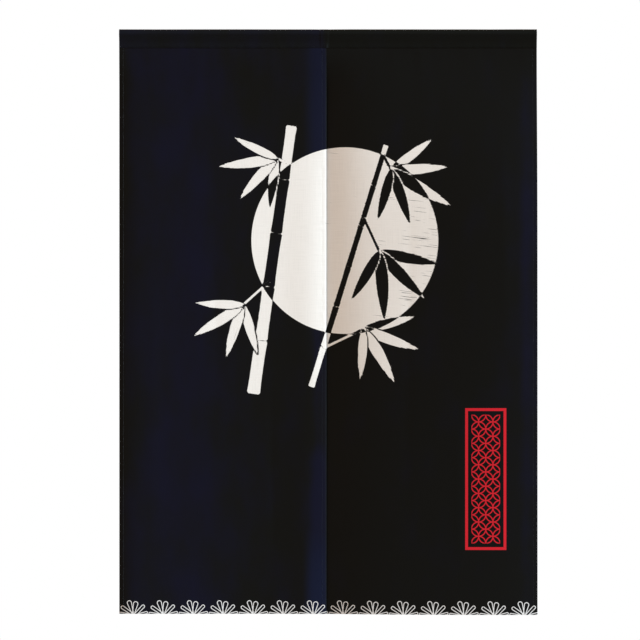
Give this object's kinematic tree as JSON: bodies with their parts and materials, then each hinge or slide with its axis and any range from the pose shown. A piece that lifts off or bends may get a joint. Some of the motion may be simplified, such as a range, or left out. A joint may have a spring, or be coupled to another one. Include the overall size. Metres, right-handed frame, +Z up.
{
  "type": "noren curtain",
  "caption": "Doorway curtain of dark cloth panels that part at a slit under a rod-pocket heading, with a pale print and a flower border at the hem.",
  "frame": {"origin": "middle of the heading's top edge, where the rod in the pocket carries the curtain", "axes": "+Z up, the printed front faces -Y, +X to the right seen from the front"},
  "size_m": [0.85, 0.0462, 1.19],
  "materials": {
    "heading_cloth": "matt plain weave",
    "panel_cloth": "matt plain weave, printed"
  },
  "bodies": {
    "root": {"heading": "heading_cloth", "panel_left": "panel_cloth", "panel_right": "panel_cloth"}
  },
  "joints": []
}
